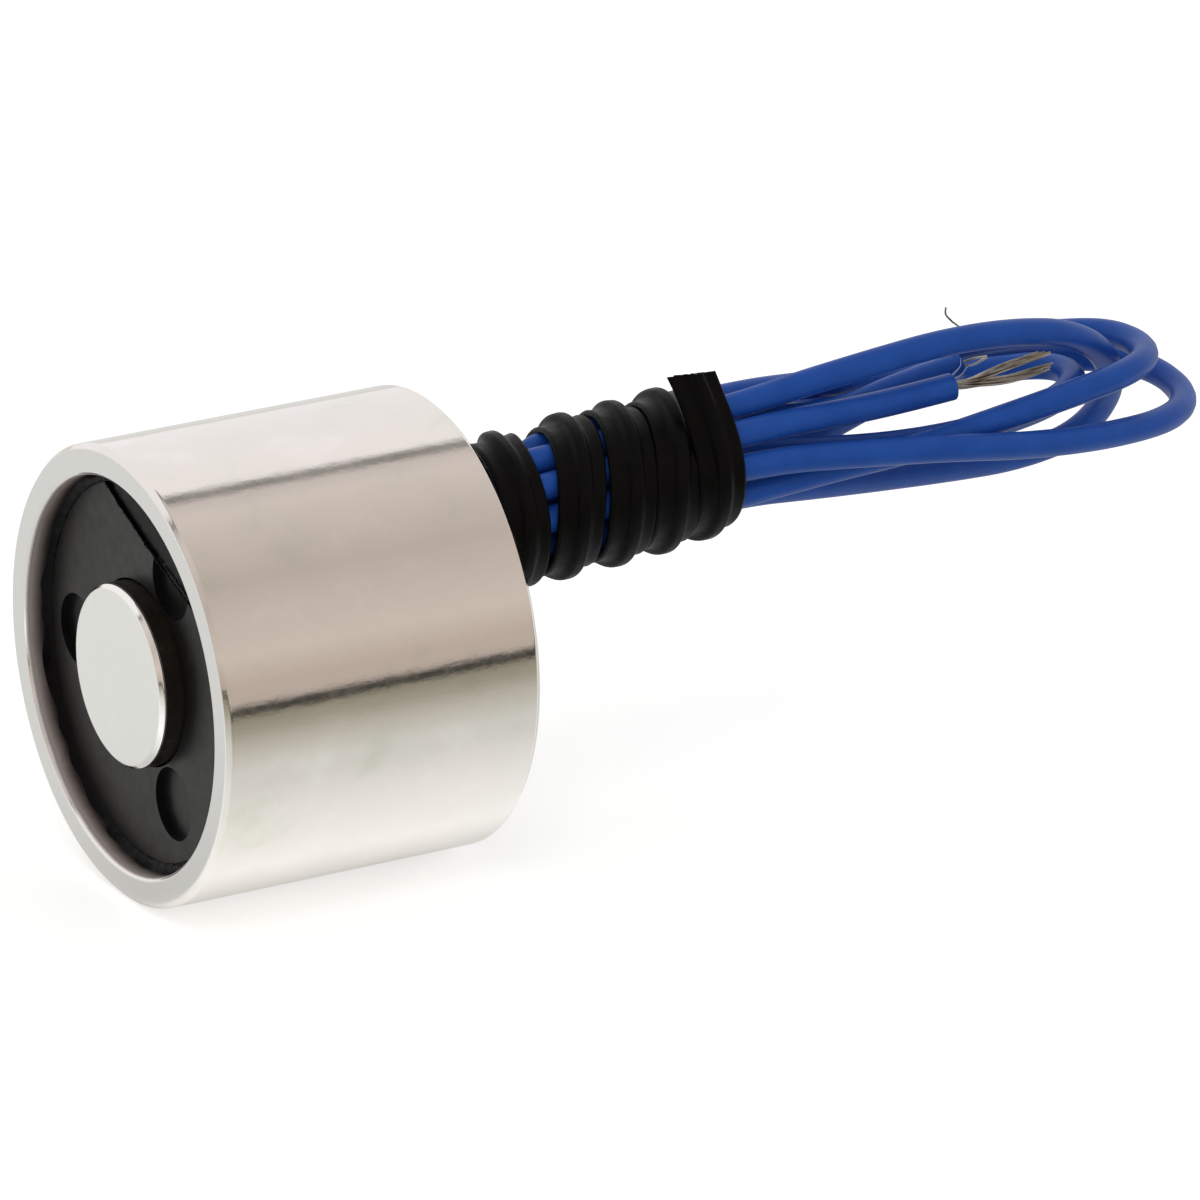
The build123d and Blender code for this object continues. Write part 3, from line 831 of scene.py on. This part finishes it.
# Bare ends: tinned strands in two loose bunches on the first lead and one on the second, and one
# stray hair
goldenAngle = 2.399963
strands = {
    "wire": 0.105, "hairWire": 0.09, "sides": 7, "steps": 24, "hairSteps": 60,
    "twist": 0.9,  # half turns along a bunch
    "slant": (0.35, 0.2, 0.9),
    "bunches1": [
        [(22.5, -5.70, 8.16), (23.7, -5.80, 8.24), (25.4, -5.95, 8.66), (27.34, -6.1, 9.0)],
        [(22.5, -5.72, 8.08), (23.6, -5.82, 8.06), (25.4, -6.0, 8.07), (27.5, -6.15, 8.30)],
    ],
    "bunches2": [
        [(24.5, -2.9, 7.80), (25.0, -2.9, 7.84), (25.5, -2.9, 7.92), (26.1, -2.9, 8.0)],
    ],
    "wires1": 8, "wires2": 2, "seed": 11, "shorter": 0.12,
    "spread": 0.11, "middleSpread": 0.07, "tipSpread": 0.13, "stray": 0.3, "ripple": 0.1,
    "hair": [
        (23.9, -2.9, 7.9), (24.75, -2.9, 8.9), (24.62, -3.0, 9.55), (24.2, -3.03, 9.95),
        (23.86, -3.05, 10.35), (23.85, -3.05, 10.68),
    ],
}


def throughPoints(points, where):
    knots = np.linspace(0, 1, len(points))
    return np.stack([smoothThrough(knots, np.array(axis, float), where) for axis in zip(*points)], -1)


def joined(grids, columns):
    # Several grids as one mesh: the faces of each count on from the points before it.
    ends = np.cumsum([0] + [len(grid) * columns for grid in grids])
    faces = [gridFaces(len(grid), columns) + used for grid, used in zip(grids, ends)]
    return np.concatenate([grid.reshape(-1, 3) for grid in grids]), np.concatenate(faces)


def tube(s, path, diameter):
    # A round section along a path, squared to it by a fixed slant.
    side, up = sidesOf(path, np.array([s["slant"]]))
    return carried(path, side, up, ring(s["sides"], diameter / 2))


def bunchWires(s, bunch, count, rng):
    # Wires lie on a disc about the bunch's line, the golden angle apart. The disc turns slowly, is
    # wider midway by a sine and towards the tips by t^2, and each wire strays from its place.
    place = np.sqrt((np.arange(count) + 0.5) / count)
    start = np.arange(count) * goldenAngle + rng.uniform(0, 1)
    for radius, angle in zip(place, start):
        t = np.linspace(0, 1 - s["shorter"] * rng.uniform(), s["steps"])
        turn = angle + s["twist"] * np.pi * t
        width = s["spread"] + s["middleSpread"] * np.sin(np.pi * t)
        width = width + (s["tipSpread"] - s["spread"]) * t**2
        reach = radius * width * (1 + s["stray"] * rng.normal() * t)
        ripple = s["ripple"] * reach * np.sin(3 * turn)
        disc = np.stack([ripple, reach * np.cos(turn), reach * np.sin(turn)], -1)
        yield throughPoints(bunch, t) + disc


def makeStrands(name, s, bunches, count, node, extra=()):
    rng = np.random.default_rng(s["seed"])
    wires = [path for bunch in bunches for path in bunchWires(s, bunch, count, rng)]
    grids = [tube(s, path, s["wire"]) for path in wires]
    grids += [tube(s, path, s["hairWire"]) for path in extra]
    piece = surface(name, *joined(grids, s["sides"]), 60)
    return keep(piece, tinnedMaterial, "tinned_copper", node)


makeStrands("bareEnd1", strands, strands["bunches1"], strands["wires1"], "lead_1_strands")
hair = throughPoints(strands["hair"], np.linspace(0, 1, strands["hairSteps"]))
makeStrands("bareEnd2", strands, strands["bunches2"], strands["wires2"], "lead_2_strands", [hair])

# Torn skin: two pale shreds of the insulation on the second lead's end
shreds = {
    "paths": [
        [
            (23.41, -4.0, 7.75), (23.86, -4.0, 7.74), (24.15, -4.0, 7.87), (24.5, -3.9, 8.12),
            (25.1, -3.8, 8.16),
        ],
        [(23.6, -3.8, 7.7), (24.0, -3.7, 7.9), (24.3, -3.6, 8.1), (24.35, -3.5, 8.4)],
    ],
    "width": 0.055, "thickness": 0.02, "tip": 0.15, "sides": 8, "steps": 24,
}


def makeShreds(s):
    # Flat ovals carried along short bent paths, thinning to a share at the tips by a quarter of a
    # cosine.
    t = np.linspace(0, 1, s["steps"])
    fade = np.cos(t * np.pi / 2)[:, None, None] * (1 - s["tip"]) + s["tip"]
    profile = fade * ring(s["sides"])[None] * np.array([s["width"], s["thickness"]])
    grids = []
    for route in s["paths"]:
        path = throughPoints(route, t)
        grids.append(carried(path, *sidesOf(path, np.array([(0, 1.0, 0)])), profile))
    piece = surface("tornSkin", *joined(grids, s["sides"]), 60)
    return keep(piece, shredMaterial, "lead_blue")


makeShreds(shreds)
print("bare ends made")


lead1 = makeLead("lead_1Run", route1, "lead_1")
lead2 = makeLead("lead_2Run", route2, "lead_2")
exits = {name: [value * mm for value in strandPlace(name, 0)] for name in ("exit1", "exit2")}
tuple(exits["exit1"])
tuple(exits["exit2"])
print("leads laid")


# Studio: pale floor, white all round, and one soft key lamp. Panels and floor tones with dark gaps
# between them show in the metal alone
studio = {
    "floorZ": -10.0, "floorSize": 4.0, "floorRough": 0.9, "floorShine": 0.1,
    # light that the floor gives off: to the camera, and to what mirrors it
    "floorColour": (0.80, 0.80, 0.78), "floorGlow": 0.52, "floorLift": 0.43,
    # what the metal mirrors of the floor, from the far side of the part to the near side:
    # (share of the way along Y, colour)
    "mirrorFrom": 40.0, "mirrorTo": -80.0, "mirrorEnd": -400.0,
    "mirrored": [
        (0.34, (0.40, 0.40, 0.38)), (0.39, (1.25, 1.25, 1.25)), (0.433, (0.85, 0.85, 0.83)),
        (0.483, (0.38, 0.38, 0.33)), (0.558, (0.18, 0.17, 0.11)), (0.667, (0.03, 0.03, 0.0)),
        (1.0, (0.0, 0.0, 0.0)),
    ],
    "mirroredBase": [
        (0.517, (0.80, 0.80, 0.78)), (0.583, (0.70, 0.68, 0.62)), (0.75, (0.48, 0.45, 0.37)),
        (1.0, (0.38, 0.35, 0.27)),
    ],
    # and beyond that a dark strip, then the tone of the first panel
    "mirroredFar": [(0.37, (0.0, 0.0, 0.0)), (0.95, (0.51, 0.39, 0.42))],
    "mirroredFarBase": [
        (0.03, (0.38, 0.35, 0.27)), (0.07, (0.05, 0.05, 0.04)), (0.37, (0.05, 0.05, 0.04)),
        (0.95, (0.38, 0.35, 0.27)),
    ],
    "worldStrength": 0.66,
    "keyPower": 0.88, "keySize": 0.30, "keyPlace": (-0.25, -0.45, 0.65),
    # angle round the X axis from the near side, up over the top: (share of a turn, colour)
    "panels": [
        (0.519, (0.55, 0.47, 0.41)), (0.56, (0.68, 0.59, 0.53)), (0.66, (0.545, 0.48, 0.435)),
        (0.77, (0.70, 0.63, 0.59)), (0.795, (0.62, 0.56, 0.53)), (0.801, (0.26, 0.245, 0.23)),
        (0.810, (0.26, 0.245, 0.23)), (0.817, (0.94, 0.90, 0.89)), (0.98, (0.94, 0.92, 0.92)),
    ],
}


def addFloor(s):
    # Mirrored tones go by the place along Y: a near ramp, and a far one beyond its end.
    half, z = s["floorSize"] / 2, s["floorZ"] * mm
    mesh = bpy.data.meshes.new("floor")
    corners = [(-half, -half, z), (half, -half, z), (half, half, z), (-half, half, z)]
    mesh.from_pydata(corners, [], [(0, 1, 2, 3)])
    floor = bpy.data.objects.new("floor", mesh)
    scene.collection.objects.link(floor)
    m = Maker("floor")
    m.set(Roughness=s["floorRough"], Specular_IOR_Level=s["floorShine"])
    rays = m.add("ShaderNodeLightPath").outputs
    seen, mirrored = rays["Is Camera Ray"], rays["Is Glossy Ray"]
    glow = m.sums("MULTIPLY", seen, s["floorGlow"])
    lift = m.sums("ADD", glow, m.sums("MULTIPLY", mirrored, s["floorLift"]))
    share = m.spread(m.along("Y"), s["mirrorFrom"] * mm, s["mirrorTo"] * mm)
    farShare = m.spread(m.along("Y"), s["mirrorTo"] * mm, s["mirrorEnd"] * mm)
    beyond = m.spread(m.along("Y"), s["mirrorTo"] * mm, (s["mirrorTo"] - 0.1) * mm)
    tint = m.blend(beyond, m.ramp(share, s["mirrored"]), m.ramp(farShare, s["mirroredFar"]))
    farBase = m.ramp(farShare, s["mirroredFarBase"])
    base = m.blend(beyond, m.ramp(share, s["mirroredBase"]), farBase)
    m.colour(m.blend(mirrored, s["floorColour"], base))
    m.wire(m.blend(mirrored, (1.0,) * 3, tint), m.shader.inputs["Emission Color"])
    m.wire(lift, m.shader.inputs["Emission Strength"])
    mesh.materials.append(m.material)


def addWorld(s):
    # White for the camera, plain for diffuse light, and panels for what the metal mirrors, by the
    # angle round the X axis: atan2(z, -y).
    world = bpy.data.worlds.new("studio")
    world.use_nodes = True
    tree = world.node_tree
    add, wire = tree.nodes.new, tree.links.new
    rays, direction = add("ShaderNodeLightPath"), add("ShaderNodeTexCoord")
    split = add("ShaderNodeSeparateXYZ")
    wire(direction.outputs["Generated"], split.inputs["Vector"])
    flip, turn, share = add("ShaderNodeMath"), add("ShaderNodeMath"), add("ShaderNodeMapRange")
    flip.operation, turn.operation = "MULTIPLY", "ARCTAN2"
    flip.inputs[1].default_value = -1
    wire(split.outputs["Y"], flip.inputs[0])
    wire(split.outputs["Z"], turn.inputs[0])
    wire(flip.outputs["Value"], turn.inputs[1])
    share.inputs["From Min"].default_value = -np.pi
    share.inputs["From Max"].default_value = np.pi
    wire(turn.outputs["Value"], share.inputs["Value"])
    panels = add("ShaderNodeValToRGB")
    elements = panels.color_ramp.elements
    for spare in range(len(s["panels"]) - len(elements)):
        elements.new(0.5)
    for element, (place, colour) in zip(elements, s["panels"]):
        element.position, element.color = place, (*colour, 1)
    wire(share.outputs["Result"], panels.inputs["Fac"])
    colour, strength = add("ShaderNodeMix"), add("ShaderNodeMix")
    colour.data_type, strength.data_type = "RGBA", "FLOAT"
    colour.inputs[6].default_value = (1, 1, 1, 1)
    wire(rays.outputs["Is Glossy Ray"], colour.inputs["Factor"])
    wire(panels.outputs["Color"], colour.inputs[7])
    strength.inputs[2].default_value = s["worldStrength"]
    strength.inputs[3].default_value = 1.0
    most = add("ShaderNodeMath")
    most.operation = "MAXIMUM"
    wire(rays.outputs["Is Camera Ray"], most.inputs[0])
    wire(rays.outputs["Is Glossy Ray"], most.inputs[1])
    wire(most.outputs["Value"], strength.inputs["Factor"])
    background = tree.nodes["Background"]
    wire(colour.outputs[2], background.inputs["Color"])
    wire(strength.outputs[0], background.inputs["Strength"])
    scene.world = world


def addKey(s):
    data = bpy.data.lights.new("key", "AREA")
    data.energy = s["keyPower"]
    data.size = s["keySize"]
    lamp = bpy.data.objects.new("key", data)
    scene.collection.objects.link(lamp)
    lamp.visible_glossy = False
    lamp.location = s["keyPlace"]
    lamp.rotation_euler = (Vector(s["keyPlace"])).to_track_quat("Z", "Y").to_euler()


addFloor(studio)
addWorld(studio)
addKey(studio)
print("studio lit")
